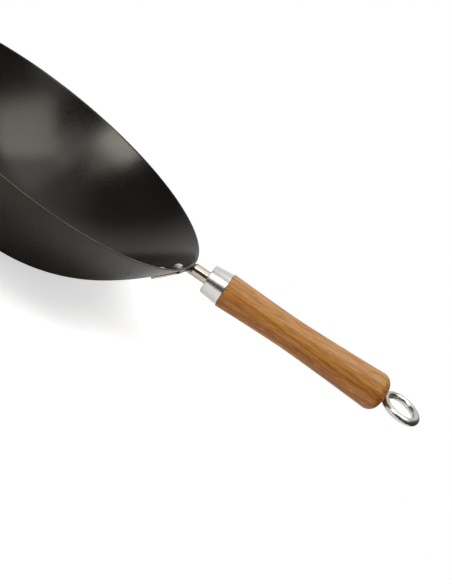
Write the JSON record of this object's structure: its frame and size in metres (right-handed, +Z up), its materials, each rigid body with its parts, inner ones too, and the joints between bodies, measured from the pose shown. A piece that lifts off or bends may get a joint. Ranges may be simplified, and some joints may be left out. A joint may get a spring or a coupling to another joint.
{
  "type": "wok",
  "caption": "Flat-based steel wok with a riveted bracket, a turned wooden grip in a metal ferrule and a hanging eye on a tie rod.",
  "frame": {"origin": "centre of the flat base's underside", "axes": "+Z up through the bowl's axis, +X from the bowl's axis toward the handle"},
  "size_m": [0.5286, 0.3, 0.1349],
  "materials": {
    "coating": "satin dark coating on sheet steel",
    "nickel": "bright nickel plate",
    "rivet_steel": "satin",
    "ferrule_metal": "fine satin",
    "wood": "oiled",
    "insert_steel": "plain",
    "eye_chrome": "polished"
  },
  "bodies": {
    "pan": {"wok_bowl": "coating", "handle_bracket": "nickel", "upper_rivet": "rivet_steel", "lower_rivet": "rivet_steel", "ferrule": "ferrule_metal", "wooden_grip": "wood", "threaded_insert": "insert_steel"},
    "eye": {"hanging_eye": "eye_chrome"}
  },
  "joints": [
    {"name": "eye_turn", "type": "hinge", "parent": "pan", "child": "eye", "pos_m": [0.16618, 0, 0.08761], "axis": [0.984, 0, 0.1779], "range_deg": [0, 270]}
  ]
}
